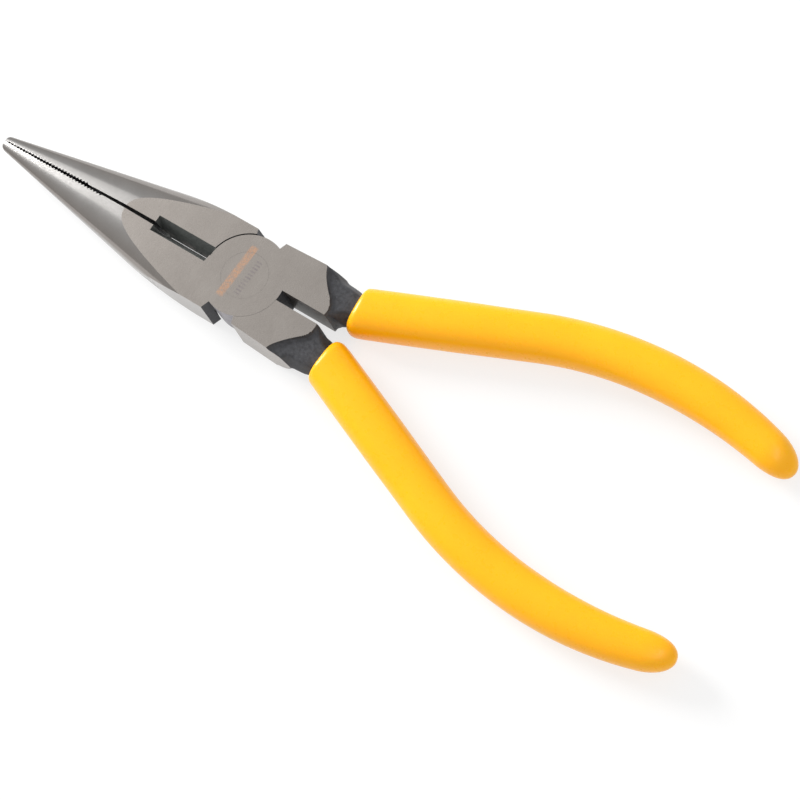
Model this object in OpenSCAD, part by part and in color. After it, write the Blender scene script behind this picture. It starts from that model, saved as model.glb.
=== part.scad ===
// Needle nose pliers with side cutters, lap joint and dipped vinyl grips.
// X runs from the pivot to the jaw tips, Y across the head, Z up through the pivot rivet.
// The origin is on the pivot axis, on the lower ground face of the head.
// The two halves are the same forging: the lower one is the upper one turned over about X.

/* [Overall] */
// Length from the jaw tips to the ends of the grips
overall_l = 203.4; // [195:0.1:210]
// Distance from the pivot axis to the jaw tips
jaw_l = 75.9; // [72:0.1:78]
// Thickness of the ground head
head_t = 10.6; // [10:0.1:11.5]
// Width of the head across the two jaw shoulders
head_w = 22.7; // [22.2:0.1:23.4]

/* [Joint] */
// Radius of the lap disc of each half
disc_r = 10; // [9.5:0.1:10.2]
// Gap between a lap disc and the jaw that curves round it
jaw_arc_gap = 0.35; // [0.25:0.05:0.5]
// Gap between a lap disc and the handle that curves round it
handle_arc_gap = 0.15; // [0.1:0.01:0.3]
// Gap between the two lap faces
lap_gap = 0.04; // [0.02:0.01:0.1]
// Direction of the jaw shoulder, seen from the pivot
jaw_shoulder_a = 70.5; // [68:0.5:74]
// Direction of the handle shoulder, seen from the pivot
handle_shoulder_a = 110.5; // [108:0.5:114]
// Radius of the rivet's shank
rivet_r = 4.2; // [3.8:0.1:4.6]
// Radius of the rivet's flush ends
rivet_end_r = 5.7; // [5.2:0.1:6.2]
// Depth of each countersunk end
rivet_end_h = 2.4; // [2:0.1:3]
// Radial clearance of the rivet in the half that it is fixed to
rivet_fixed_gap = 0.02; // [0.01:0.01:0.03]
// Radial clearance of the rivet in the half that turns on it
rivet_running_gap = 0.05; // [0.03:0.01:0.1]

/* [Jaws] */
// Half width of the nose lost for each millimetre towards the tips
nose_side_taper = 0.18; // [0.175:0.001:0.185]
// Half thickness of the nose lost for each millimetre towards the tips
nose_face_taper = 0.105; // [0.1:0.001:0.11]
// Distance from the pivot to the point where the tapers meet
nose_apex_x = 86; // [85:0.5:88]
// Squareness of the nose section, 2 for an ellipse
nose_n = 2.5; // [2:0.1:3]
// Radius of each jaw's tip corner
tip_r = 1.4; // [1:0.1:1.7]
// Width of the slit at the tips with the jaws closed
slit_tip_w = 0.1; // [0.08:0.01:0.3]
// Width of the slit where the cutter window starts
slit_root_w = 0.96; // [0.6:0.02:1.2]
// Distance between the teeth
tooth_pitch = 1; // [0.9:0.05:1.3]
// Depth of the teeth
tooth_h = 0.35; // [0.2:0.05:0.5]
// Flat land between two teeth, as a part of the distance between them
tooth_land = 0.15; // [0.1:0.01:0.3]
// Start of the teeth on the upper half
upper_teeth_x = 43; // [40:0.5:50]
// Start of the teeth on the lower half
lower_teeth_x = 47.5; // [40:0.5:50]

/* [Cutters] */
// Front end of the cutter window
window_x = 26.7; // [25:0.1:28]
// Width of the cutter window at the ground faces
window_w = 4; // [3.6:0.1:4.6]
// Front end of the cutting edges
edge_x = 24.3; // [23:0.1:25]
// Width of the window where the last bevel of the blades starts
bevel_w = 1.2; // [0.8:0.1:1.6]
// Height of the last bevel, from the cutting edge
bevel_h = 1.3; // [0.8:0.1:1.6]
// Gap between the closed cutting edges
edge_gap = 0.1; // [0.08:0.01:0.2]

/* [Handles] */
// Width of the slot between the two handles
slot_w = 2.6; // [2:0.1:3]
// Width of the head across the two handle shoulders
handle_w = 22.2; // [22:0.1:23]
// Width of the head where the ground faces end
heel_w = 23.4; // [23:0.1:24]
// Distance of the neck's middle line from the X axis
neck_y = 6.4; // [6.2:0.1:6.6]
// Slope of the handles' straight stretch
handle_a = 21.5; // [20:0.5:23]
// Radius of the bend between neck and handle
neck_bend_r = 14; // [10:1:20]
// Radius of the bow at the end of the handles
bow_r = 90; // [85:1:95]
// Distance from the pivot to the widest place of the handles
bow_x = 97.5; // [95:0.5:100]

/* [Grips] */
// Start of the grips, measured from the pivot
grip_x = 25.5; // [23.5:0.5:26]
// Width of a grip at its front
grip_w = 11.4; // [11:0.1:12]
// Thickness of a grip at its front
grip_t = 10.4; // [10:0.1:10.6]
// Width and thickness of the grip's end, as a part of those at its front
grip_end_k = 0.8; // [0.75:0.01:0.9]
// Vinyl left behind the end of the steel tang
grip_end_wall = 5; // [4:0.5:8]
// Gap between vinyl and steel
grip_fit = 0.05; // [0.03:0.01:0.1]

/* [Hidden] */
mid_z = head_t / 2;
half_w = head_w / 2;
arc_fn = 96;
over = 1;                                   // how far cutters run past the faces
edge_trim = 0.02;                           // what the window's bevels take off the cutting edges

// The plan of the jaws
heel_x = 15.2;                              // outer end of the ground face behind the pivot
heel_in = [21.9, 4.7];                      // inner end of the curve that ends the ground face
heel_arc_r = 22;
side_knee_x = nose_apex_x - half_w / nose_side_taper;
side_a = atan(nose_side_taper);
side_run = 10;                              // tangent length of the curve at the knee
side_arc_r = side_run / tan(side_a / 2);
tip_half_w = nose_side_taper * (nose_apex_x - jaw_l);
tip_clear = 0.6;                            // smooth stretch between the last tooth and the tip
tip_corner_y = tip_half_w - tip_r + 0.2;    // centre of the tip's rounded corner
nose_sides = 64;

// The handle's middle line: straight neck, bend, straight handle, bow
handle_slope = tan(handle_a);
bow_y = 28;                                 // widest place of the middle line
bow_start = [-bow_x + bow_r * sin(handle_a), bow_y - bow_r * (1 - cos(handle_a))];
bend_run = neck_bend_r * tan(handle_a / 2);
corner_x = bow_start[0] + (bow_start[1] - neck_y) / handle_slope;
neck_start = [-12, neck_y];
bend_start = [corner_x + bend_run, neck_y];
bend_end = [corner_x - bend_run * cos(handle_a), neck_y + bend_run * sin(handle_a)];
neck_l = neck_start[0] - bend_start[0];
bend_l = neck_bend_r * handle_a * PI / 180;
shaft_l = (bend_end[0] - bow_start[0]) / cos(handle_a);
grip_back_x = jaw_l - overall_l;
bow_end_a = -asin((-grip_back_x - bow_x) / bow_r);
bow_l = bow_r * (handle_a - bow_end_a) * PI / 180;
path_l = neck_l + bend_l + shaft_l + bow_l;
grip_start_s = neck_start[0] + grip_x;

// The steel inside the grips: half width and half thickness along the middle line
neck_size = [4.75, 4.1];
shaft_size = [3.8, 3.25];
tang_end_size = [2.8, 2.5];
neck_taper_l = 20;
section_n = 24;
lip_l = 3;                                  // length of the grip's rolled front lip
lip_k = 0.82;                               // size of the lip's front edge, as a part of the grip
dome_l = 6.5;                               // length of the grip's domed end

// Heading of the middle line at the distance s, in degrees away from -X
function path_heading(s) =
    s < neck_l ? 0
    : s < neck_l + bend_l ? (s - neck_l) / bend_l * handle_a
    : s < neck_l + bend_l + shaft_l ? handle_a
    : handle_a - (s - neck_l - bend_l - shaft_l) / bow_r * 180 / PI;

// Point of the middle line at the distance s
function path_point(s) =
    s < neck_l ? neck_start + s * [-1, 0]
    : s < neck_l + bend_l ?
        bend_start + neck_bend_r * [-sin(path_heading(s)), 1 - cos(path_heading(s))]
    : s < neck_l + bend_l + shaft_l ?
        bend_end + (s - neck_l - bend_l) * [-cos(handle_a), sin(handle_a)]
    : bow_start + bow_r * [sin(path_heading(s)) - sin(handle_a), cos(path_heading(s)) - cos(handle_a)];

// A value between a and b, for t from 0 to 1
function mix(a, b, t) = a + (b - a) * min(1, max(0, t));
// A value that eases in and out between a and b
function ease(a, b, t) = mix(a, b, (1 - cos(180 * min(1, max(0, t)))) / 2);

// A rounded outline with the half sizes [w, t]: n is 2 for an ellipse, more for a squarer one
function power(v, n) = sign(v) * pow(abs(v), 2 / n);
function rounded_section(size, n, count) =
    [for (i = [0:count - 1]) [size[0] * power(cos(i * 360 / count), n), size[1] * power(sin(i * 360 / count), n)]];

// Half size of the steel at the distance s
function tang_size(s) =
    s < neck_taper_l ? ease(neck_size, shaft_size, s / neck_taper_l)
    : mix(shaft_size, tang_end_size, (s - neck_taper_l) / (path_l - neck_taper_l));

// Half size of the grip at the distance s: a rolled front lip, a slow taper and a domed end
function grip_scale(s) =
    let (t = (s - grip_start_s) / (path_l - grip_start_s))
    let (lip = lip_k + (1 - lip_k) * sin(90 * min(1, (s - grip_start_s) / lip_l)))
    let (dome = sqrt(1 - pow(max(0, (s - path_l + dome_l) / dome_l), 2)))
    mix(1, grip_end_k, pow(t, 1.6)) * lip * dome;
// Sweeps an outline along the middle line through the distances in stops.
// Each entry of sizes is the half width and half thickness at that stop.
module sweep(stops, sizes, n) {
    rings = [for (k = [0:len(stops) - 1])
        let (p = path_point(stops[k]), a = path_heading(stops[k]))
        [for (q = rounded_section(sizes[k], n, section_n))
            [p[0] + q[0] * sin(a), p[1] + q[0] * cos(a), mid_z + q[1]]]];
    last = len(rings) - 1;
    points = [for (ring = rings) for (q = ring) q];
    sides = [for (k = [0:last - 1]) for (i = [0:section_n - 1])
        let (j = (i + 1) % section_n)
        each [[k * section_n + i, k * section_n + j, (k + 1) * section_n + j],
              [k * section_n + i, (k + 1) * section_n + j, (k + 1) * section_n + i]]];
    front = [[for (i = [section_n - 1:-1:0]) i]];
    back = [[for (i = [0:section_n - 1]) last * section_n + i]];
    polyhedron(points = points, faces = concat(sides, front, back), convexity = 6);
}

// Distances along the middle line between two places, closer together in the bends
function stops_between(a, b, step) = [for (i = [0:ceil((b - a) / step)]) a + (b - a) * i / ceil((b - a) / step)];

// The steel from the neck to the end of the tang, grown by gap for the grip's cavity
module tang(gap = 0, from = 0) {
    stops = concat(stops_between(from, neck_l + bend_l + 4, 2.5),
                   stops_between(neck_l + bend_l + 6, path_l - grip_end_wall + gap, 7));
    sweep(stops, [for (s = stops) tang_size(s) + [gap, gap]], 3.2);
}

// The vinyl grip, with its cavity round the tang
module grip() {
    lip = [for (t = [0:0.25:1]) grip_start_s + lip_l * (1 - cos(90 * t))];
    body = stops_between(grip_start_s + lip_l + 2, path_l - dome_l, 4.5);
    dome = [for (t = [15:15:75]) path_l - dome_l + dome_l * sin(t)];
    stops = concat(lip, body, dome, [path_l - 0.02]);
    difference() {
        sweep(stops, [for (s = stops) grip_scale(s) * [grip_w, grip_t] / 2], 2.3);
        tang(gap = grip_fit, from = grip_start_s - over);
    }
}

// Plan of one jaw on the +Y side, before its teeth
module jaw_outline() {
    shoulder = half_w / tan(jaw_shoulder_a);
    root = [shoulder, half_w];
    knee = [side_knee_x, half_w];
    knee_in = [side_knee_x - side_run, half_w];
    knee_out = knee + side_run * [cos(side_a), -sin(side_a)];
    tip = [jaw_l, tip_half_w];
    notch_x = (edge_x + window_x) / 2;
    blade_y = edge_gap / 2 - edge_trim;
    slit = [[jaw_l, slit_tip_w / 2], [window_x, slit_root_w / 2], [notch_x, slit_root_w / 2],
            [notch_x, blade_y], [0, blade_y]];
    intersection() {
        polygon(concat([[0, 0], root, knee, tip], slit));
        union() {
            polygon(concat([[0, 0], root, knee_in, knee_out, tip], slit));
            translate([knee_in[0], half_w - side_arc_r]) circle(side_arc_r, $fn = arc_fn);
        }
        union() {
            polygon([[0, -over], [0, half_w + over], [jaw_l - tip_r, half_w + over], [jaw_l - tip_r, -over]]);
            translate([jaw_l - tip_r, tip_corner_y]) circle(tip_r, $fn = arc_fn);
            square([jaw_l, tip_corner_y]);
        }
    }
}

// V grooves across the inside of a jaw, from start to the tip, with a narrow land between them
module teeth(start) {
    count = floor((jaw_l - tip_clear - start) / tooth_pitch);
    for (i = [0:count - 1]) {
        x = start + (i + tooth_land / 2) * tooth_pitch;
        end = x + (1 - tooth_land) * tooth_pitch;
        polygon([[x, -over], [x, slit_y(x)], [(x + end) / 2, slit_y(x) + tooth_h],
                 [end, slit_y(end)], [end, -over]]);
    }
}

// Half width of the slit at the distance x from the pivot
function slit_y(x) = mix(slit_root_w, slit_tip_w, (x - window_x) / (jaw_l - window_x)) / 2;

// The nose: a blunt cone with its point far in front of the tips, which the flat faces cut
module nose_form() {
    base_x = -over;
    back = rounded_section([nose_side_taper, nose_face_taper] * (nose_apex_x - base_x), nose_n, nose_sides);
    front_k = (nose_apex_x - jaw_l - over) / (nose_apex_x - base_x);
    translate([base_x, 0, mid_z]) rotate([90, 0, 90])
        linear_extrude(jaw_l + over - base_x, scale = front_k) polygon(back);
}

// One side of the cutter window: two bevels from each ground face down to the cutting edge
module cutter_window() {
    half = [[window_w / 2, head_t + over], [window_w / 2, head_t], [bevel_w / 2, mid_z + bevel_h],
            [edge_gap / 2, mid_z], [bevel_w / 2, mid_z - bevel_h], [window_w / 2, 0], [window_w / 2, -over]];
    start = disc_r + 0.2;
    translate([start, 0, 0]) rotate([90, 0, 90])
        linear_extrude(window_x - start) polygon(concat([[-over, head_t + over]], half, [[-over, -over]]));
    translate([edge_x, -over, -over])
        cube([window_x - edge_x, over + bevel_w / 2, head_t + 2 * over]);
}

// One jaw on the +Y side at the full thickness of the head
module jaw(teeth_x) {
    difference() {
        intersection() {
            linear_extrude(head_t) difference() {
                jaw_outline();
                teeth(teeth_x);
            }
            nose_form();
        }
        cutter_window();
    }
}

// Plan of the ground part of the handle, on the +Y side
module handle_outline() {
    shoulder = handle_w / 2 / tan(handle_shoulder_a);
    chord = [-heel_in[0] + heel_x, heel_in[1] - heel_w / 2];
    chord_l = norm(chord);
    middle = [-heel_x - heel_in[0], heel_in[1] + heel_w / 2] / 2;
    out = [chord[1], -chord[0]] / chord_l * sqrt(pow(heel_arc_r, 2) - pow(chord_l / 2, 2));
    difference() {
        polygon([[0, slot_w / 2], [0, 0.1], [shoulder, handle_w / 2], [-heel_x, heel_w / 2],
                 [-heel_in[0], heel_in[1]], [-heel_in[0], slot_w / 2]]);
        translate(middle + out) circle(heel_arc_r, $fn = arc_fn);
    }
}

// The rivet's outline grown by gap, as a solid of revolution
module rivet_form(gap, ends = 0) {
    r = rivet_r + gap;
    end_r = rivet_end_r + gap;
    rotate_extrude($fn = arc_fn)
        polygon([[0, -ends], [end_r, -ends], [end_r, 0], [r, rivet_end_h], [r, head_t - rivet_end_h],
                 [end_r, head_t], [end_r, head_t + ends], [0, head_t + ends]]);
}

// Clears the lower layer for the other half's lap disc
module lap_clearance() {
    lap_h = mid_z + lap_gap / 2 + over;
    translate([0, 0, -over]) intersection() {
        cylinder(h = lap_h, r = disc_r + jaw_arc_gap, $fn = arc_fn);
        translate([0, -2 * disc_r, 0]) cube([2 * disc_r, 4 * disc_r, lap_h]);
    }
    translate([0, 0, -over]) cylinder(h = lap_h, r = disc_r + handle_arc_gap, $fn = arc_fn);
}

// One forged half, with its lap disc on top, its jaw on +Y and its handle on -Y
module half(teeth_x, rivet_gap) {
    difference() {
        union() {
            jaw(teeth_x);
            mirror([0, 1, 0]) linear_extrude(head_t) handle_outline();
            mirror([0, 1, 0]) tang();
            cylinder(h = head_t, r = disc_r, $fn = arc_fn);
        }
        lap_clearance();
        rivet_form(rivet_gap, ends = over);
    }
}

// Turns a piece of the upper half over about X, to make the lower half's
module turned_over() {
    translate([0, 0, head_t]) rotate([180, 0, 0]) children();
}

module upper_half() {
    color([0.66, 0.63, 0.6]) half(upper_teeth_x, rivet_fixed_gap);
}

module lower_half() {
    color([0.6, 0.57, 0.54]) turned_over() half(lower_teeth_x, rivet_running_gap);
}

module pivot_rivet() {
    color([0.72, 0.7, 0.67]) rivet_form(0);
}

module upper_half_grip() {
    color([0.98, 0.7, 0.08]) mirror([0, 1, 0]) grip();
}

module lower_half_grip() {
    color([0.98, 0.7, 0.08]) turned_over() mirror([0, 1, 0]) grip();
}

upper_half();
lower_half();
pivot_rivet();
upper_half_grip();
lower_half_grip();
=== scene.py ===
"""Looks of a pair of needle nose pliers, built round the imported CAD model.

Lengths in the modelling functions are in millimetres, in the CAD model's own frame: X from the
pivot to the jaw tips, Y across the head, Z up through the rivet, z = 0 on the lower ground face.
Both halves are built as the upper one, and the lower one is then turned over about X. Finished
meshes, the floor, the lights and the camera are in metres.
"""

import math

import bmesh
import bpy
import numpy as np
from mathutils import Matrix, Vector


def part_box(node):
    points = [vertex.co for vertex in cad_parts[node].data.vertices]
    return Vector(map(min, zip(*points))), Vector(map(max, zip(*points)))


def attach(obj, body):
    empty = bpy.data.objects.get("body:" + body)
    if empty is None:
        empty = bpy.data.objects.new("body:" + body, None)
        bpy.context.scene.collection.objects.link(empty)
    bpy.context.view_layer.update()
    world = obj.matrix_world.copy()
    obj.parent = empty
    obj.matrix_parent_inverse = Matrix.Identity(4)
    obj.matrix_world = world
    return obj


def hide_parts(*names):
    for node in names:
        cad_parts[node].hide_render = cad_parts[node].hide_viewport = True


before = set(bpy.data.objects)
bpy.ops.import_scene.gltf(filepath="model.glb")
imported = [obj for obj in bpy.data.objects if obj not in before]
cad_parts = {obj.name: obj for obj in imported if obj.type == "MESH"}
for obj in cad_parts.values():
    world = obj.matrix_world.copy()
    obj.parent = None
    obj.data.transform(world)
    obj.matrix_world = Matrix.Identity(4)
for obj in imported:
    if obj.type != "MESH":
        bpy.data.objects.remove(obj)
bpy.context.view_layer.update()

MM = 0.001                  # metres in a millimetre


def box_mm(node):
    """Lowest and highest corner of a CAD node, in mm."""
    low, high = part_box(node)
    return [v / MM for v in low], [v / MM for v in high]


# ---------------------------------------------------------------- sizes, in mm
rivet_low, rivet_high = box_mm("pivot_rivet")
HEAD_T = rivet_high[2] - rivet_low[2]
MID = HEAD_T / 2
RIVET_END_R = (rivet_high[0] - rivet_low[0]) / 2
RIVET_R = 4.2
RIVET_END_H = 2.4           # height of each countersunk end
RIVET_GAP = 0.01
JAW_L = box_mm("upper_half")[1][0]
DISC_R = 10.0
DISC_STEPS = 110            # sides of half a disc
JAW_ARC_GAP = 0.33          # round the lap disc, on the side of the jaws
HANDLE_ARC_GAP = 0.05       # and on the side of the handles
LAP_GAP = 0.04
OVER = 1.0                  # how far cutters run past the faces
ARC_STEPS = 14

NOSE_SIDE = 0.18            # half width lost per millimetre
NOSE_FACE = 0.105           # half thickness lost per millimetre
NOSE_APEX_X = 86.0
NOSE_N = 2.5                # exponent of the nose's rounded section
KNEE_RUN = 10.0             # tangent length of the curve from the jaw's side to the nose
TIP_R = 1.4
TIP_OUT = 0.2               # how far the tip's curve starts outside the cone
SLIT_TIP = 0.1              # width of the slit between the jaws at the tips
SLIT_ROOT = 0.96            # and at the window
TOOTH_PITCH = 1.0
TOOTH_LAND = 0.12           # flat crest of a tooth
TOOTH_H_ROOT = 0.42
TOOTH_H_TIP = 0.2
TIP_CLEAR = 1.3             # from the start of the last tooth to the tip

WINDOW_X = 26.7             # front end of the cutter window
WINDOW_LEAN = 0.14          # slope of its back end
EDGE_X = 24.3               # front end of the cutting edges
EDGE_Y = 0.05               # from the cutting edge to the middle
BLADE_Y = 0.03              # inner side of the blades, before the bevels trim them to their edges
BEVEL_Y = 0.62              # where the last bevel of the blades starts
BEVEL_H = 1.3               # and how far above the cutting edge

SLOT_W = 2.6                # of the slot between the ground handle blocks
HANDLE_SHOULDER_A = math.radians(110.5)
HEEL_X = -15.2              # outer end of the ground face behind the pivot
HEEL_IN_X = -21.9           # inner end of it
NECK_Y = 6.4
NECK_BEND_R = 14.0
HANDLE_A = math.radians(21.5)
BOW_R = 90.0
BOW_X = 97.5                # how far behind the pivot the bow is widest
BOW_Y = 28.0                # and how wide
GRIP_BACK_X = box_mm("upper_half_grip")[0][0]
GRIP_X = 26.5               # where the grips' lips lie behind the pivot
GRIP_SLANT = 0.85           # how much further back the lip lies on its outer side
LIP_R = 1.5
DOME_L = 7.4                # length of a grip's closed end
DOME_SINK = 0.7             # how far the end drops towards the bench

# What differs between the two forgings. Pairs are for z = 0 and z = HEAD_T before a half is turned over.
# jaw, handle, heel: distance of the outer side from the X axis. shift: of the nose's middle line.
# window: half width. window_x: its back end. neck: added to its outer corner.
FORGINGS = {
    "upper": {"jaw": (11.7, 11.44), "jaw_a": 68.8, "handle": (11.5, 11.1), "heel": (11.95, 11.51),
              "shift": 0.2, "window": 1.9, "window_x": 10.5, "neck": -0.2, "teeth_x": 43.0, "phase": 0.0},
    "lower": {"jaw": (10.97, 11.3), "jaw_a": 70.7, "handle": (11.15, 11.6), "heel": (11.81, 12.2),
              "shift": -0.2, "window": 2.2, "window_x": 9.9, "neck": 0.3, "teeth_x": 47.5, "phase": 0.5},
}

SLOTS = ["ground", "nose", "oxide", "blade", "disc_wall", "slot_wall", "dark"]
SMOOTH_A = math.radians(28)  # edges with a larger angle stay sharp
MERGE_DIST = 0.002

# ---------------------------------------------------------------- mesh helpers


def new_object(name, points, faces):
    """An object in the scene, with its faces turned outwards."""
    mesh = bpy.data.meshes.new(name)
    mesh.from_pydata([tuple(map(float, p)) for p in points], [], faces)
    bm = bmesh.new()
    bm.from_mesh(mesh)
    bmesh.ops.recalc_face_normals(bm, faces=bm.faces)
    bm.to_mesh(mesh)
    bm.free()
    obj = bpy.data.objects.new(name, mesh)
    bpy.context.scene.collection.objects.link(obj)
    return obj


def loft(rings, name="tool"):
    """Quads between rings of the same number of points, with flat ends."""
    count, n = len(rings), len(rings[0])
    points = [p for ring in rings for p in ring]
    faces = []
    for k in range(count - 1):
        a, b = k * n, (k + 1) * n
        faces += [(a + i, a + (i + 1) % n, b + (i + 1) % n, b + i) for i in range(n)]
    faces += [tuple(range(n - 1, -1, -1)), tuple(range((count - 1) * n, count * n))]
    return new_object(name, points, faces)


def prism(outline, z0, z1):
    """A plan outline, extruded from z0 to z1."""
    return loft([[(x, y, z) for x, y in outline] for z in (z0, z1)])


def baked(obj):
    """Applies obj's modifiers to its mesh."""
    graph = bpy.context.evaluated_depsgraph_get()
    mesh = bpy.data.meshes.new_from_object(obj.evaluated_get(graph))
    obj.modifiers.clear()
    obj.data = mesh
    return obj


def boolean(obj, tool, operation):
    """Combines obj with tool, which is used up."""
    mod = obj.modifiers.new("boolean", "BOOLEAN")
    mod.operation = operation
    mod.solver = "MANIFOLD"
    mod.object = tool
    baked(obj)
    bpy.data.objects.remove(tool)
    return obj


def arc(centre, radius, a0, a1, count):
    """Points of an arc from the angle a0 to a1, in count steps."""
    return [(centre[0] + radius * math.cos(a0 + (a1 - a0) * i / count),
             centre[1] + radius * math.sin(a0 + (a1 - a0) * i / count)) for i in range(count + 1)]


def smoothstep(t):
    """0 to 1 with level ends, for t from 0 to 1."""
    t = np.clip(t, 0, 1)
    return t * t * (3 - 2 * t)


# ---------------------------------------------------------------- the handles' middle line
BOW_START = (-BOW_X + BOW_R * math.sin(HANDLE_A), BOW_Y - BOW_R * (1 - math.cos(HANDLE_A)))
BEND_RUN = NECK_BEND_R * math.tan(HANDLE_A / 2)
CORNER_X = BOW_START[0] + (BOW_START[1] - NECK_Y) / math.tan(HANDLE_A)
NECK_L = -(CORNER_X + BEND_RUN)
BEND_L = NECK_BEND_R * HANDLE_A
BEND_END = (CORNER_X - BEND_RUN * math.cos(HANDLE_A), NECK_Y + BEND_RUN * math.sin(HANDLE_A))
SHAFT_L = (BEND_END[0] - BOW_START[0]) / math.cos(HANDLE_A)
BOW_END_A = -math.asin((-GRIP_BACK_X - BOW_X) / BOW_R)
PATH_L = NECK_L + BEND_L + SHAFT_L + BOW_R * (HANDLE_A - BOW_END_A)


def path(s):
    """Point and heading of the middle line at the distance s behind the pivot."""
    if s < NECK_L:
        return (-s, NECK_Y), 0.0
    s -= NECK_L
    if s < BEND_L:
        a = s / NECK_BEND_R
        return (-NECK_L - NECK_BEND_R * math.sin(a), NECK_Y + NECK_BEND_R * (1 - math.cos(a))), a
    s -= BEND_L
    if s < SHAFT_L:
        return (BEND_END[0] - s * math.cos(HANDLE_A), BEND_END[1] + s * math.sin(HANDLE_A)), HANDLE_A
    a = HANDLE_A - (s - SHAFT_L) / BOW_R
    return (BOW_START[0] + BOW_R * (math.sin(a) - math.sin(HANDLE_A)),
            BOW_START[1] + BOW_R * (math.cos(a) - math.cos(HANDLE_A))), a


def section(w, t, n, count):
    """Rounded outline with half sizes w and t, its points evenly spaced by angle."""
    out = []
    for i in range(count):
        a = 2 * math.pi * i / count
        c, s = math.cos(a), math.sin(a)
        r = (abs(c / w) ** n + abs(s / t) ** n) ** (-1 / n)
        out.append((r * c, r * s))
    return out


def place(s, ring, slant=0.0, sink=0.0):
    """Puts a ring of (across, up) points on the middle line at s, its outer side further back by slant."""
    w = max(u for u, v in ring)
    points = []
    for u, v in ring:
        (x, y), a = path(s + slant * u / w)
        points.append((x + u * math.sin(a), y + u * math.cos(a), MID - sink + v))
    return points


# ---------------------------------------------------------------- one half, jaw on +Y, disc on top


def slit_y(x):
    """Half width of the slit between the jaws."""
    t = min(1, max(0, (x - WINDOW_X) / (JAW_L - WINDOW_X)))
    return (SLIT_ROOT + (SLIT_TIP - SLIT_ROOT) * t) / 2


def jaw_plan(forging, half_w):
    """Plan of a jaw with its teeth, as a loop from the pivot round the outside and back along the slit."""
    shift, teeth_x = forging["shift"], forging["teeth_x"]
    side_a = math.atan(NOSE_SIDE)
    knee_x = NOSE_APEX_X - (half_w - shift) / NOSE_SIDE
    knee_r = KNEE_RUN / math.tan(side_a / 2)
    points = [(0, 0), (half_w / math.tan(math.radians(forging["jaw_a"])), half_w)]
    points += arc((knee_x - KNEE_RUN, half_w - knee_r), knee_r, math.pi / 2, math.pi / 2 - side_a, ARC_STEPS)
    clear = 0.04 + shift                            # the cone cuts the nose's side, not this outline
    side_end = TIP_R + 12                           # from the cone's point to the tip's curve
    points += [(NOSE_APEX_X - side_end, NOSE_SIDE * side_end + clear)]
    tip_y = NOSE_SIDE * (NOSE_APEX_X - JAW_L) - TIP_R + TIP_OUT + shift
    points += arc((JAW_L - TIP_R, tip_y), TIP_R, math.radians(82), 0, ARC_STEPS)
    points += [(JAW_L, slit_y(JAW_L))]
    back = []
    x = teeth_x + forging["phase"]
    flank = (TOOTH_PITCH - TOOTH_LAND) / 2
    while x < JAW_L - TIP_CLEAR:
        height = TOOTH_H_ROOT - (TOOTH_H_ROOT - TOOTH_H_TIP) * (x - teeth_x) / (JAW_L - teeth_x)
        back += [(x, slit_y(x)), (x + flank, slit_y(x) + height), (x + 2 * flank, slit_y(x))]
        x += TOOTH_PITCH
    points += reversed(back)
    notch_x = (EDGE_X + WINDOW_X) / 2
    points += [(WINDOW_X, SLIT_ROOT / 2), (notch_x, SLIT_ROOT / 2), (notch_x, BLADE_Y), (0.5, BLADE_Y)]
    return points


def nose_cone(shift):
    """The blunt cone that shapes both sides of the nose, from behind the pivot to past the tips."""
    rings = []
    for x in (-3.0, JAW_L + 2):
        k = NOSE_APEX_X - x
        ring = section(NOSE_SIDE * k, NOSE_FACE * k, NOSE_N, 288)
        rings.append([(x, u + shift, MID + v) for u, v in ring])
    return loft(rings)


def window_tool(w, back_x):
    """One side of the cutter window, with two bevels from each ground face to the cutting edge."""
    top = HEAD_T + OVER
    profile = [(-OVER, top), (w, top), (w, HEAD_T), (BEVEL_Y, MID + BEVEL_H), (EDGE_Y, MID),
               (BEVEL_Y, MID - BEVEL_H), (w, 0), (w, -OVER), (-OVER, -OVER)]
    back = [(back_x - WINDOW_LEAN * (w - y), y, z) for y, z in profile]
    front = [(WINDOW_X, y, z) for y, z in profile]
    notch = [(EDGE_X, -OVER), (WINDOW_X, -OVER), (WINDOW_X, BEVEL_Y), (EDGE_X, BEVEL_Y)]
    return boolean(loft([back, front]), prism(notch, -2 * OVER, HEAD_T + 2 * OVER), "UNION")


# The end of the ground face behind the pivot, as x for each y
HEEL_YS = (-1, 1.4, 2.7, 4.0, 5.0, 6.0, 7.7, 9.3, 10.8, 11.7, 14, 22)
HEEL_XS = {
    "upper": (-21.3, -21.8, -21.9, -21.4, -20.75, -19.7, -18.05, -16.75, -15.85, -15.65, -15.5, -15.3),
    "lower": (-21.1, -21.6, -21.75, -21.25, -20.5, -19.45, -17.65, -16.15, -15.0, -14.6, -14.4, -14.2),
}


def heel_x(y, side):
    """x of the ground face's end at y."""
    return eased(y, HEEL_YS, HEEL_XS[side], 0.6)


# How far out the forged corners of the neck lie, for each x: outer corner, inner corner
OUTER_XS = (-60, -28, -26, -22.7, -20.4, -19.5, -18.3, -15.2, -14, 0)
OUTER_CS = (9.6, 9.9, 10.3, 10.6, 10.75, 11.1, 11.95, 12.83, 14, 30)
INNER_XS = (-60, -28, -25.6, -23.5, -22.6, -21.9, -21, 0)
INNER_CS = (-2, -1.9, -1.62, -0.2, 0.9, 2.1, 5, 30)


def eased(x, xs, ys, reach=0.5):
    """Linear interpolation with its corners smoothed over reach on each side."""
    return sum(np.interp(x + d * reach, xs, ys) for d in (-1, -0.5, 0, 0.5, 1)) / 5


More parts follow.
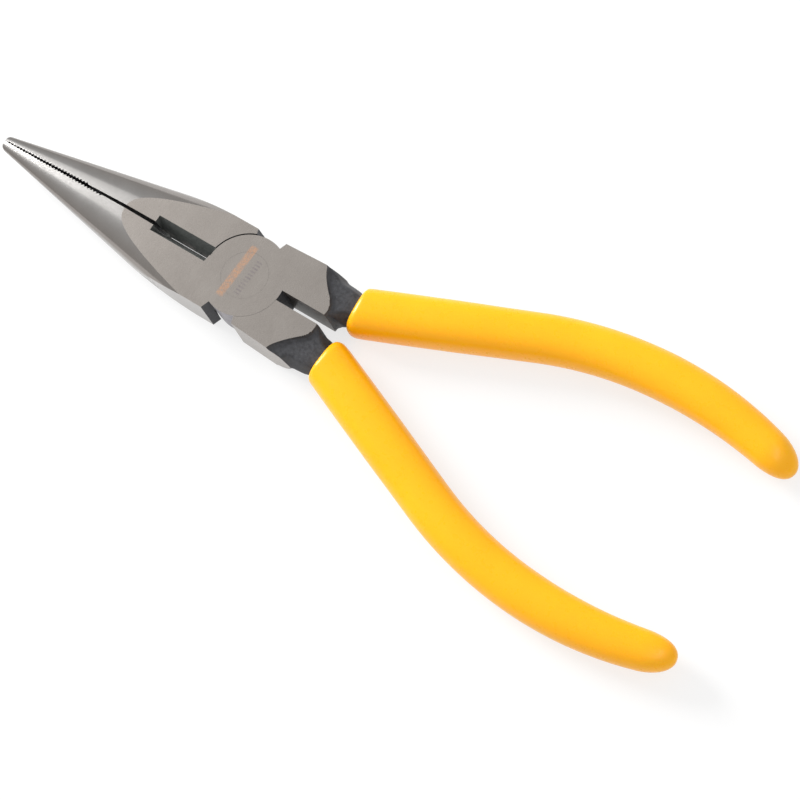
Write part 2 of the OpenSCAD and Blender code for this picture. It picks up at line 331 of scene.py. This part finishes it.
def neck_reach(x, y, z, side):
    """How far a point is outside the forged heel and neck, roughly in mm, with soft edges."""
    v = np.sqrt((z - MID) ** 2 + 0.16)
    behind = (heel_x(y, side) - x) * 0.72           # behind the end of the ground face
    out = np.maximum(behind, 0)
    drop = np.where(behind > 0, 0.75 * (1 - np.exp(-out / 0.12)) + 0.17 * out, 5.0 * behind)
    over_top = v - (MID - drop)
    past = np.maximum(HEEL_IN_X - x, 0)             # behind the slot
    lift = np.where(x < HEEL_IN_X, 0.85 * (1 - np.exp(-past / 0.35)), (HEEL_IN_X - x) * 2)
    over_slot = (SLOT_W / 2 + lift) - y
    over_outer = 0.92 * y + 0.39 * v - eased(x, OUTER_XS, OUTER_CS, 0.35) - FORGINGS[side]["neck"]
    over_inner = -0.8 * y + 0.6 * v - eased(x, INNER_XS, INNER_CS, 0.3)
    soft = 0.22                                     # reach of the rounding between the faces
    parts = np.stack([over_top, over_slot, over_outer, over_inner])
    top = parts.max(0)
    return top + soft * np.log(np.exp((parts - top) / soft).sum(0))


def tang_taper(s):
    """0 at the front of a grip to 1 at the end of the handle."""
    return min(1, max(0, (s - 26) / (PATH_L - 26)))


def neck_rings(side, count=96):
    """Forged heel, neck and tang as rings along the middle line."""
    heel, neck, tang_part = np.arange(0.6, 11, 1.5), np.arange(11.2, 31, 0.35), np.arange(32, PATH_L - 5, 2.0)
    angles = 2 * np.pi * np.arange(count) / count
    u, v = np.cos(angles), np.sin(angles)
    rings = []
    for s in np.concatenate([heel, neck, tang_part]):
        (cx, cy), a = path(s)
        lo, hi = np.full(count, 0.3), np.full(count, 15.0)
        for _ in range(36):
            r = (lo + hi) / 2
            inside = neck_reach(cx + r * u * math.sin(a), cy + r * u * math.cos(a), MID + r * v, side) < 0
            lo, hi = np.where(inside, r, lo), np.where(inside, hi, r)
        forged = (lo + hi) / 2
        taper = tang_taper(s)
        w, t = 3.85 - 1.0 * taper, 3.3 - 0.75 * taper
        tang = (np.abs(u / w) ** 3 + np.abs(v / t) ** 3) ** (-1 / 3)
        mix = smoothstep((s - 23.5) / 7)
        r = forged * (1 - mix) + tang * mix
        rings.append(place(s, list(zip(r * u, r * v))))
    return rings


def handle(side):
    """Ground handle block, heel, neck and tang, on the +Y side."""
    free = -24.2                                    # behind this only the neck's own shape counts,
    far_x, far_y, near_y = -140, 60, -10            # so the block is as wide and long as it has to be

    def plan(z, shoulder_w, heel_w):
        shoulder_x = shoulder_w / math.tan(HANDLE_SHOULDER_A)
        outline = [(-0.3, SLOT_W / 2), (0, 0.1), (shoulder_x, shoulder_w), (HEEL_X, heel_w), (free, heel_w),
                   (free, far_y), (far_x, far_y), (far_x, near_y), (free, near_y), (free, SLOT_W / 2)]
        return [(x, y, z) for x, y in outline]

    shoulder, heel = FORGINGS[side]["handle"], FORGINGS[side]["heel"]
    block = loft([plan(0, shoulder[0], heel[0]), plan(HEAD_T, shoulder[1], heel[1])])
    return boolean(block, loft(neck_rings(side)), "INTERSECT")


def mirrored(obj):
    """Mirrors a closed mesh in Y."""
    obj.data.transform(Matrix.Scale(-1, 4, (0, 1, 0)))
    obj.data.flip_normals()
    return obj


def lap_tool():
    """Clears the lower layer for the other half's lap disc."""
    jaw_side = arc((0, 0), DISC_R + JAW_ARC_GAP, -math.pi / 2, math.pi / 2, DISC_STEPS)
    handle_side = arc((0, 0), DISC_R + HANDLE_ARC_GAP, math.pi / 2, 3 * math.pi / 2, DISC_STEPS)
    return prism(jaw_side + handle_side, -OVER, MID + LAP_GAP / 2)


def lathe(profile, count=144):
    """Solid of revolution about the pivot, from (radius, z) points, with flat ends."""
    turns = [2 * math.pi * i / count for i in range(count)]
    return loft([[(r * math.cos(a), r * math.sin(a), z) for a in turns] for r, z in profile], "lathe")


def rivet_profile(gap):
    """The rivet's outline from the lower to the upper ground face, grown by gap."""
    end_r, r = RIVET_END_R + gap, RIVET_R + gap
    return [(end_r, 0.0), (r, RIVET_END_H), (r, HEAD_T - RIVET_END_H), (end_r, HEAD_T)]


def build_half(name, side):
    """One forging in mm, jaw on +Y, handle on -Y and lap disc on top."""
    forging = FORGINGS[side]
    low_w, top_w = forging["jaw"]
    plans = [[(x, y, z) for x, y in jaw_plan(forging, half_w)] for z, half_w in ((0, low_w), (HEAD_T, top_w))]
    jaw = boolean(loft(plans, name), nose_cone(forging["shift"]), "INTERSECT")
    boolean(jaw, window_tool(forging["window"], forging["window_x"]), "DIFFERENCE")
    boolean(jaw, mirrored(handle(side)), "UNION")
    boolean(jaw, prism(arc((0, 0), DISC_R, 0, 2 * math.pi, 2 * DISC_STEPS)[:-1], 0, HEAD_T), "UNION")
    boolean(jaw, lap_tool(), "DIFFERENCE")
    end_r = RIVET_END_R + RIVET_GAP
    boolean(jaw, lathe([(end_r, -OVER)] + rivet_profile(RIVET_GAP) + [(end_r, HEAD_T + OVER)]), "DIFFERENCE")
    return jaw


def finish_of(c, n):
    """Which finish a face of a half has, from its middle and its normal."""
    flat = abs(n.z) > 0.9995
    r = math.hypot(c.x, c.y)
    window_side = max(forging["window"] for forging in FORGINGS.values()) + 0.1
    if flat and not 0.01 <= c.z <= HEAD_T - 0.01:
        return "ground"
    if flat and abs(c.z - MID) < 0.1:
        return "disc_wall"
    if c.x < -8:
        if n.y < -0.99 and c.y < -11 and c.x > -21:
            return "ground"
        return "slot_wall" if n.y > 0.99 and abs(c.y + SLOT_W / 2) < 0.1 else "oxide"
    if c.x > WINDOW_X + 0.1:
        # slit walls and tooth flanks facing -Y get the much darker oxide copy, painted shade in the narrow
        # slit
        return "dark" if n.y < -0.5 and c.y < 1.0 else "nose"
    if c.y > 0 and r > DISC_R + 0.45 and n.y > 0.1 and n.x > -0.5:
        return "nose"
    if c.x > 9 and -0.5 < c.y < window_side:
        return "blade"
    if c.x < 1 and c.y < -10.5 and n.y < -0.9:
        return "ground"
    return "disc_wall" if abs(r - DISC_R) < 0.06 and c.z > MID else "oxide"


def finish_half(obj):
    """Clean up, sort the faces into finishes and set which edges stay sharp."""
    obj.data.materials.clear()
    for slot_name in SLOTS:
        obj.data.materials.append(MATERIALS[slot_name])
    bm = bmesh.new()
    bm.from_mesh(obj.data)
    bmesh.ops.remove_doubles(bm, verts=bm.verts, dist=MERGE_DIST)
    bmesh.ops.dissolve_degenerate(bm, dist=MERGE_DIST / 2, edges=bm.edges)
    for f in bm.faces:
        f.material_index = SLOTS.index(finish_of(f.calc_center_median(), f.normal))
        f.smooth = True
    for e in bm.edges:
        if len(e.link_faces) == 2:
            one, two = e.link_faces
            e.smooth = e.calc_face_angle(0) <= SMOOTH_A and one.material_index == two.material_index
    bm.to_mesh(obj.data)
    bm.free()
    obj.data.transform(Matrix.Scale(MM, 4))
    return obj


def turned_over(obj):
    """Turns a piece of the upper half over about X, for the lower half."""
    obj.data.transform(Matrix.Translation((0, 0, HEAD_T * MM)) @ Matrix.Rotation(math.pi, 4, "X"))
    return obj


# ---------------------------------------------------------------- grips


# Half width of a grip at some distances along the middle line
GRIP_SS = (24, 36, 50, 60, 78, 98, 108, 114, 120, 127, 135)
GRIP_WS = (5.68, 5.74, 5.7, 5.58, 5.45, 5.3, 5.08, 4.86, 4.62, 4.25, 4.05)
GRIP_W, GRIP_T = 5.7, 5.2   # proportions of its section


def grip_size(s):
    """Half width and half thickness of a grip at s."""
    w = np.interp(s, GRIP_SS, GRIP_WS)
    return w, w * GRIP_T / GRIP_W


def bore_rings(lip_s, count):
    """The hollow round the tang, from its closed end to just inside the lip."""
    rings = []
    for s in list(np.arange(PATH_L - 4.6, lip_s + 1, -4.0)) + [lip_s + 0.8]:
        taper = tang_taper(s)
        mouth = max(0.0, 1 - (s - lip_s) / 7)       # the hollow widens towards the lip
        w, t = 3.95 - 1.0 * taper + mouth * 0.75, 3.4 - 0.75 * taper + mouth * 0.6
        rings.append(place(s, section(w, t, 3, count), GRIP_SLANT * mouth))
    return rings


def lip_rings(lip_s, count):
    """The rolled lip, from inside to outside."""
    rings = []
    w, h = grip_size(lip_s + LIP_R)
    for t in np.linspace(-50, 90, 12):
        a = math.radians(t)
        inset = LIP_R * 0.75 * (1 - math.sin(a))
        ring = section(w - inset, h - inset, 2.4, count)
        rings.append(place(lip_s + LIP_R * (1 - math.cos(a)), ring, GRIP_SLANT))
    return rings


def dome_rings(count):
    """The closed end, which drops a little towards the bench."""
    rings = []
    for t in np.linspace(0, 84, 15):
        a = math.radians(t)
        s = PATH_L - DOME_L + DOME_L * math.sin(a)
        w, h = grip_size(s)
        shrink = math.cos(a) ** 0.9
        rings.append(place(s, section(w * shrink, h * shrink, 2.2, count), sink=DOME_SINK * math.sin(a) ** 2))
    return rings


def build_grip(name):
    """A dipped vinyl grip of the upper half, in metres."""
    count = 72
    lip_s = GRIP_X - 0.2
    rings = bore_rings(lip_s, count) + lip_rings(lip_s, count)
    for s in np.arange(lip_s + LIP_R + 1.0, PATH_L - DOME_L, 1.6):
        w, h = grip_size(s)
        slant = GRIP_SLANT * (1 - smoothstep((s - lip_s) / 10))
        rings.append(place(s, section(w, h, 2.4 - 0.2 * smoothstep((s - 30) / 60), count), slant))
    obj = loft(rings + dome_rings(count), name)
    for f in obj.data.polygons:
        f.use_smooth = True
    obj.data.transform(Matrix.Scale(MM, 4))
    return mirrored(obj)


# ---------------------------------------------------------------- materials


class Nodes:
    """A short way to write a node tree. Points are taken in millimetres in the object's own frame."""

    def __init__(self, name):
        self.mat = bpy.data.materials.new(name)
        self.mat.use_nodes = True
        self.tree = self.mat.node_tree
        self.bsdf = next(n for n in self.tree.nodes if n.type == "BSDF_PRINCIPLED")
        place_m = self.node("ShaderNodeTexCoord").outputs["Object"]
        scale = (1 / MM, 1 / MM, 1 / MM)
        self.mm = self.node("ShaderNodeMapping", {"Scale": scale}, {"Vector": place_m}).outputs[0]

    def node(self, kind, values=None, links=None, **props):
        """A new node with the given input values, linked inputs and properties."""
        n = self.tree.nodes.new(kind)
        for k, v in props.items():
            setattr(n, k, v)
        for k, v in (values or {}).items():
            n.inputs[k].default_value = v
        for k, v in (links or {}).items():
            self.tree.links.new(v, n.inputs[k])
        return n

    def feed(self, socket, v):
        """Gives a socket a number, a colour or another node's output."""
        if isinstance(v, (int, float)):
            socket.default_value = v
        elif isinstance(v, tuple):
            socket.default_value = (*v, 1)
        else:
            self.tree.links.new(v, socket)

    def math(self, op, a, b=None):
        n = self.tree.nodes.new("ShaderNodeMath")
        n.operation = op
        self.feed(n.inputs[0], a)
        if b is not None:
            self.feed(n.inputs[1], b)
        return n.outputs[0]

    def product(self, *factors):
        out = factors[0]
        for v in factors[1:]:
            out = self.math("MULTIPLY", out, v)
        return out

    def blend(self, a, part, b):
        """part of a with the rest of b."""
        return self.math("ADD", self.product(a, part), self.product(b, round(1 - part, 6)))

    def xyz(self):
        """Place on the object in mm."""
        n = self.node("ShaderNodeSeparateXYZ", links={0: self.mm})
        return n.outputs[0], n.outputs[1], n.outputs[2]

    def stretched(self, scale):
        return self.node("ShaderNodeMapping", {"Scale": scale}, {"Vector": self.mm}).outputs[0]

    def noise(self, scale, detail=4.0, rough=0.55, vector=None):
        n = self.node("ShaderNodeTexNoise", {"Scale": scale, "Detail": detail, "Roughness": rough},
                      {"Vector": self.mm if vector is None else vector})
        return n.outputs["Fac"]

    def ramp(self, fac, stops):
        """Colour from a list of (position, colour)."""
        n = self.node("ShaderNodeValToRGB", links={0: fac})
        cr = n.color_ramp
        while len(cr.elements) > 1:
            cr.elements.remove(cr.elements[-1])
        for i, (pos, colour) in enumerate(stops):
            e = cr.elements[0] if i == 0 else cr.elements.new(pos)
            e.position = pos
            e.color = (*colour, 1)
        return n.outputs[0]

    def span(self, v, a, b, lo=0.0, hi=1.0):
        """lo to hi as v goes from a to b, with level ends."""
        n = self.node("ShaderNodeMapRange", {"From Min": a, "From Max": b, "To Min": lo, "To Max": hi},
                      {"Value": v}, interpolation_type="SMOOTHSTEP")
        return n.outputs[0]

    def band(self, v, a, b, soft):
        """1 where v is between a and b, with soft ends."""
        return self.product(self.span(v, a - soft, a + soft), self.span(v, b - soft, b + soft, 1, 0))

    def mix(self, fac, a, b):
        """Colour a, or b where fac is 1."""
        n = self.node("ShaderNodeMix", data_type="RGBA")
        for i, v in ((0, fac), (6, a), (7, b)):
            self.feed(n.inputs[i], v)
        return n.outputs[2]

    def bump(self, height, distance, strength, normal=None):
        """Normal from a height, with the distance in mm."""
        links = {"Height": height}
        if normal is not None:
            links["Normal"] = normal
        return self.node("ShaderNodeBump", {"Distance": distance * MM, "Strength": strength}, links).outputs[0]

    def set(self, **links):
        names = {"color": "Base Color", "rough": "Roughness", "metal": "Metallic", "normal": "Normal"}
        for k, v in links.items():
            self.feed(self.bsdf.inputs[names[k]], v)
        return self.mat


def ground_steel(name):
    """Fine ground flats with a grain across the head."""
    m = Nodes(name)
    grain = m.noise(1.0, 5, 0.6, m.stretched((9.0, 0.7, 1.0)))
    fine = m.noise(1.0, 3, 0.6, m.stretched((26.0, 2.2, 2.0)))
    cloud = m.noise(0.16, 3, 0.5)
    colour = m.ramp(m.blend(grain, 0.6, cloud), [(0.3, (0.30, 0.272, 0.25)), (0.7, (0.37, 0.34, 0.313))])
    rough = m.math("ADD", m.product(fine, 0.10), 0.23)
    normal = m.bump(m.blend(grain, 0.7, fine), 0.012, 0.08)
    return m.set(color=stamp(m, colour), rough=rough, metal=0.92, normal=normal)


def stamp(m, colour):
    """A plain printed bar with a row of short ticks beside it, on the upper face of the disc only."""
    x, y, z = m.xyz()
    top = m.math("GREATER_THAN", z, HEAD_T - 0.2)
    lean = m.math("ADD", x, m.product(y, -0.05))
    worn = m.span(m.noise(2.4, 4, 0.75), 0.36, 0.6, 0.15, 1.0)
    bar = m.product(m.band(lean, 1.2, 3.1, 0.15), m.band(y, -6.9, 6.9, 0.3), top, worn)
    colour = m.mix(m.product(bar, 0.5), colour, (0.74, 0.36, 0.17))
    saw = m.math("FRACT", m.product(y, 1.15))
    row = m.product(m.band(lean, -1.9, -0.4, 0.1), m.band(y, -4.6, 4.6, 0.2))
    ticks = m.product(row, m.math("LESS_THAN", saw, 0.42), top, worn)
    return m.mix(m.product(ticks, 0.65), colour, (0.2, 0.17, 0.19))


def nose_steel(name):
    """Finer ground nose, with painted shade that makes its flanks a little darker and browner, and a grain
    along it.
    """
    m = Nodes(name)
    x, y, _ = m.xyz()
    grain = m.noise(1.0, 5, 0.6, m.stretched((1.2, 8.0, 8.0)))
    fine = m.noise(14.0, 3, 0.6)
    cloud = m.noise(0.22, 3, 0.5)
    nose_half_w = m.product(m.math("SUBTRACT", NOSE_APEX_X, x), NOSE_SIDE)
    # painted shade: the rounded flanks, which turn away from the light, get a darker brown colour
    flank = m.span(m.math("DIVIDE", m.math("ABSOLUTE", y), nose_half_w), 0.35, 1.0)
    base = m.ramp(m.blend(grain, 0.5, cloud), [(0.3, (0.30, 0.29, 0.28)), (0.7, (0.37, 0.36, 0.35))])
    colour = m.mix(m.product(flank, 0.55), base, (0.27, 0.235, 0.21))
    rough = m.math("ADD", m.product(fine, 0.05), 0.135)
    return m.set(color=colour, rough=rough, metal=0.95, normal=m.bump(m.blend(grain, 0.6, fine), 0.02, 0.08))


def oxide(name, light):
    """Forged skin under black oxide, with pale specks. light scales how pale it is."""
    m = Nodes(name)
    lumps = m.noise(1.3, 5, 0.6)
    specks = m.span(m.noise(5.5, 3, 0.7), 0.60, 0.74)
    dark = tuple(light * v for v in (0.018, 0.018, 0.020))
    pale = tuple(light * v for v in (0.045, 0.046, 0.051))
    colour = m.mix(m.product(specks, 0.5), m.ramp(lumps, [(0.3, dark), (0.7, pale)]), (0.16, 0.17, 0.19))
    m.bsdf.inputs["Specular IOR Level"].default_value = 0.35
    normal = m.bump(m.blend(lumps, 0.6, m.noise(6.0, 3)), 0.09, 0.8)
    return m.set(color=colour, rough=m.span(lumps, 0.3, 0.7, 0.45, 0.65), metal=0.0, normal=normal)


def blade(name):
    """Dark cutter bevels with painted glints near the cutting edge: pale patches that stand in for highlights.
    """
    m = Nodes(name)
    z = m.xyz()[2]
    streak = m.noise(1.0, 4, 0.6, m.stretched((2.2, 6.0, 1.2)))
    near_edge = m.span(m.math("ABSOLUTE", m.math("SUBTRACT", z, MID)), 0.4, 1.9, 1, 0)
    # painted highlight: pale patches near the cutting edge stand in for glints of light on the bevels
    glint = m.product(near_edge, m.span(m.noise(0.9, 3, 0.6), 0.42, 0.66))
    colour = m.ramp(streak, [(0.3, (0.09, 0.097, 0.094)), (0.75, (0.19, 0.2, 0.19))])
    colour = m.mix(m.product(glint, 0.6), colour, (0.42, 0.38, 0.37))
    rough = m.span(streak, 0.3, 0.7, 0.5, 0.65)
    return m.set(color=colour, rough=rough, metal=0.4, normal=m.bump(streak, 0.05, 0.7))


def wall(name, dark, pale, metal):
    """Machined walls with a grain along Z."""
    m = Nodes(name)
    grain = m.noise(1.0, 4, 0.6, m.stretched((1.0, 1.0, 7.0)))
    colour = m.ramp(grain, [(0.3, dark), (0.7, pale)])
    rough = m.span(grain, 0.3, 0.7, 0.36, 0.5)
    return m.set(color=colour, rough=rough, metal=metal, normal=m.bump(grain, 0.03, 0.7))


def vinyl(name):
    """Dipped vinyl, glossy and very slightly uneven."""
    m = Nodes(name)
    cloud = m.noise(0.05, 3, 0.5)
    pebble = m.noise(0.35, 3, 0.5)
    colour = m.ramp(cloud, [(0.3, (1.0, 0.43, 0.002)), (0.7, (1.0, 0.465, 0.004))])
    rough = m.span(m.noise(0.6, 4, 0.6), 0.3, 0.7, 0.26, 0.34)
    normal = m.bump(pebble, 0.03, 0.35)
    normal = m.bump(m.noise(4.0, 3, 0.5), 0.002, 0.3, normal)
    m.bsdf.inputs["Specular IOR Level"].default_value = 0.35
    m.bsdf.inputs["Subsurface Weight"].default_value = 0.1
    m.bsdf.inputs["Subsurface Radius"].default_value = (1.0, 0.35, 0.05)
    m.bsdf.inputs["Subsurface Scale"].default_value = 0.002
    m.bsdf.inputs["IOR"].default_value = 1.5
    return m.set(color=colour, rough=rough, metal=0.0, normal=normal)


MATERIALS = {
    "ground": ground_steel("ground_steel"),
    "nose": nose_steel("nose_steel"),
    "oxide": oxide("black_oxide", 1.45),
    "blade": blade("cutter_blade"),
    "disc_wall": wall("lap_wall", (0.24, 0.225, 0.24), (0.36, 0.345, 0.37), 0.75),
    "slot_wall": wall("slot_wall", (0.085, 0.075, 0.066), (0.15, 0.135, 0.12), 0.2),
    # A much darker copy of the oxide for the slit walls and tooth flanks: painted shade in the narrow slit
    # between the jaws.
    "dark": oxide("slit_wall_painted_shade", 0.35),
}
VINYL = vinyl("yellow_vinyl")

# ---------------------------------------------------------------- pieces
upper_steel = finish_half(build_half("upper_steel", "upper"))
lower_steel = turned_over(finish_half(build_half("lower_steel", "lower")))
upper_grip = build_grip("upper_grip")
lower_grip = turned_over(build_grip("lower_grip"))


def build_rivet():
    """The rivet, with a small chamfer on each rim and a fine ring in the middle of each end."""
    chamfer, ring_r, centre_r = 0.02, 2.0, 0.02
    low, *shank, top = rivet_profile(0.0)
    cone_r = low[0] - chamfer * (RIVET_END_R - RIVET_R) / RIVET_END_H
    rim_r = low[0] - chamfer
    profile = [(centre_r, 0.0), (ring_r, 0.0), (rim_r, low[1]), (cone_r, low[1] + chamfer)] + shank
    profile += [(cone_r, top[1] - chamfer), (rim_r, top[1]), (ring_r, top[1]), (centre_r, top[1])]
    obj = lathe(profile)
    obj.name = "rivet"
    obj.data.transform(Matrix.Scale(MM, 4))
    return obj


rivet = build_rivet()
upper_grip.data.materials.append(VINYL)
lower_grip.data.materials.append(VINYL)
rivet.data.materials.append(MATERIALS["ground"])

for obj, body, node, slot_name in ((upper_steel, "upper", "upper_half", "ground_steel"),
                                   (lower_steel, "lower", "lower_half", "ground_steel"),
                                   (upper_grip, "upper", "upper_half_grip", "yellow_vinyl"),
                                   (lower_grip, "lower", "lower_half_grip", "yellow_vinyl"),
                                   (rivet, "upper", "pivot_rivet", "rivet_steel")):
    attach(obj, body)
    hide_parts(node)


# ---------------------------------------------------------------- floor, light and camera
def build_floor():
    """A large disc of pale paper lit from below, just under the tool."""
    radius = 3000.0
    turns = np.linspace(0, 2 * math.pi, 64, endpoint=False)
    rings = [[(radius * math.cos(a), radius * math.sin(a), z) for a in turns] for z in (-2.0, -0.02)]
    obj = loft(rings, "floor")
    obj.data.transform(Matrix.Scale(MM, 4))
    m = Nodes("floor_paper")
    m.set(color=m.ramp(m.noise(0.01, 2), [(0.3, (0.22, 0.22, 0.22)), (0.7, (0.24, 0.24, 0.24))]), rough=0.9)
    m.bsdf.inputs["Emission Color"].default_value = (1, 1, 1, 1)
    m.bsdf.inputs["Emission Strength"].default_value = 0.72
    obj.data.materials.append(m.mat)
    return obj


def build_world():
    """Even studio light, a little brighter overhead."""
    world = bpy.data.worlds.new("studio")
    world.use_nodes = True
    tree = world.node_tree
    background = tree.nodes["Background"]
    coord = tree.nodes.new("ShaderNodeTexCoord")
    split = tree.nodes.new("ShaderNodeSeparateXYZ")
    sky = tree.nodes.new("ShaderNodeValToRGB")
    tree.links.new(coord.outputs["Generated"], split.inputs[0])
    tree.links.new(split.outputs[2], sky.inputs[0])
    tree.links.new(sky.outputs[0], background.inputs[0])
    level, overhead = sky.color_ramp.elements
    level.position = 0.0
    level.color = (0.82, 0.81, 0.80, 1)
    overhead.position = 0.9
    overhead.color = (1.0, 1.0, 1.0, 1)
    background.inputs[1].default_value = 0.73
    return world


def area_light(name, direction, distance, size, power, target=(0, 0, 0.005)):
    """A round light that shines on target from the given direction."""
    light = bpy.data.lights.new(name, "AREA")
    light.shape = "DISK"
    light.size = size
    light.energy = power
    obj = bpy.data.objects.new(name, light)
    d = Vector(direction).normalized()
    obj.location = Vector(target) + d * distance
    obj.rotation_euler = d.to_track_quat("Z", "Y").to_euler()
    bpy.context.scene.collection.objects.link(obj)
    return light


def build_camera():
    """Looks down on the tool from beside its handles, with the nose pointing to the upper left."""
    data = bpy.data.cameras.new("camera")
    data.sensor_width = 36.0
    data.lens = 84.43
    data.clip_end = 20
    camera = bpy.data.objects.new("camera", data)
    right = (-0.80906, -0.55134, -0.20357)
    up = (0.47558, -0.81767, 0.32441)
    back = (-0.34531, 0.16565, 0.92375)
    spot = (-0.18875, 0.07413, 0.38694)
    camera.matrix_world = Matrix([*zip(right, up, back, spot), (0, 0, 0, 1)])
    bpy.context.scene.collection.objects.link(camera)
    return camera


build_floor()
bpy.context.scene.world = build_world()
area_light("key", (1.0, -0.1, 0.5), 1.8, 0.8, 44)
area_light("nose", (0.74, -0.19, 0.69), 1.8, 0.8, 1.15)
strip = area_light("strip", (-0.35, -0.05, 0.93), 1.4, 1.2, 2.6, target=(-0.07, 0, 0.005))
strip.shape = "RECTANGLE"
strip.size_y = 0.1
bpy.context.scene.camera = build_camera()
bpy.context.scene.view_settings.view_transform = "Standard"
